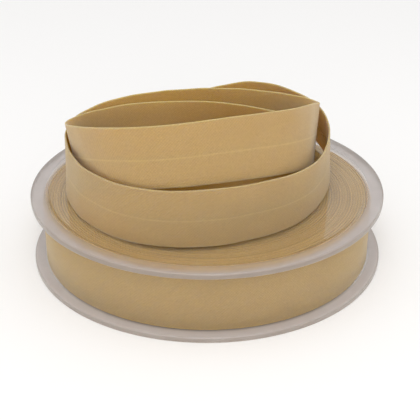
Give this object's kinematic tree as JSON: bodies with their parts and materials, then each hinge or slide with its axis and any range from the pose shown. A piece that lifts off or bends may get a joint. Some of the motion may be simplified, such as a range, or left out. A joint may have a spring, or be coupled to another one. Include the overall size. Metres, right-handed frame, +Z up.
{
  "type": "roll of bias binding",
  "caption": "Round flanged plastic reel wound with tan bias binding, with its loose end coiled on top; sewing trim that unrolls to length.",
  "frame": {"origin": "the reel's axis, on the surface that the reel stands on", "axes": "+Z up along the reel's axis; -Y is the front, towards the viewer"},
  "size_m": [0.15, 0.152, 0.0798],
  "materials": {
    "milky_plastic": "natural milky see-through plastic, glossy as moulded",
    "binding_cloth": "tan plain-weave cloth cut on the bias, edges pressed in to the middle"
  },
  "bodies": {
    "root": {"reel_lower_half": "milky_plastic", "reel_upper_half": "milky_plastic", "wound_binding": "binding_cloth", "loose_tape": "binding_cloth"}
  },
  "joints": []
}
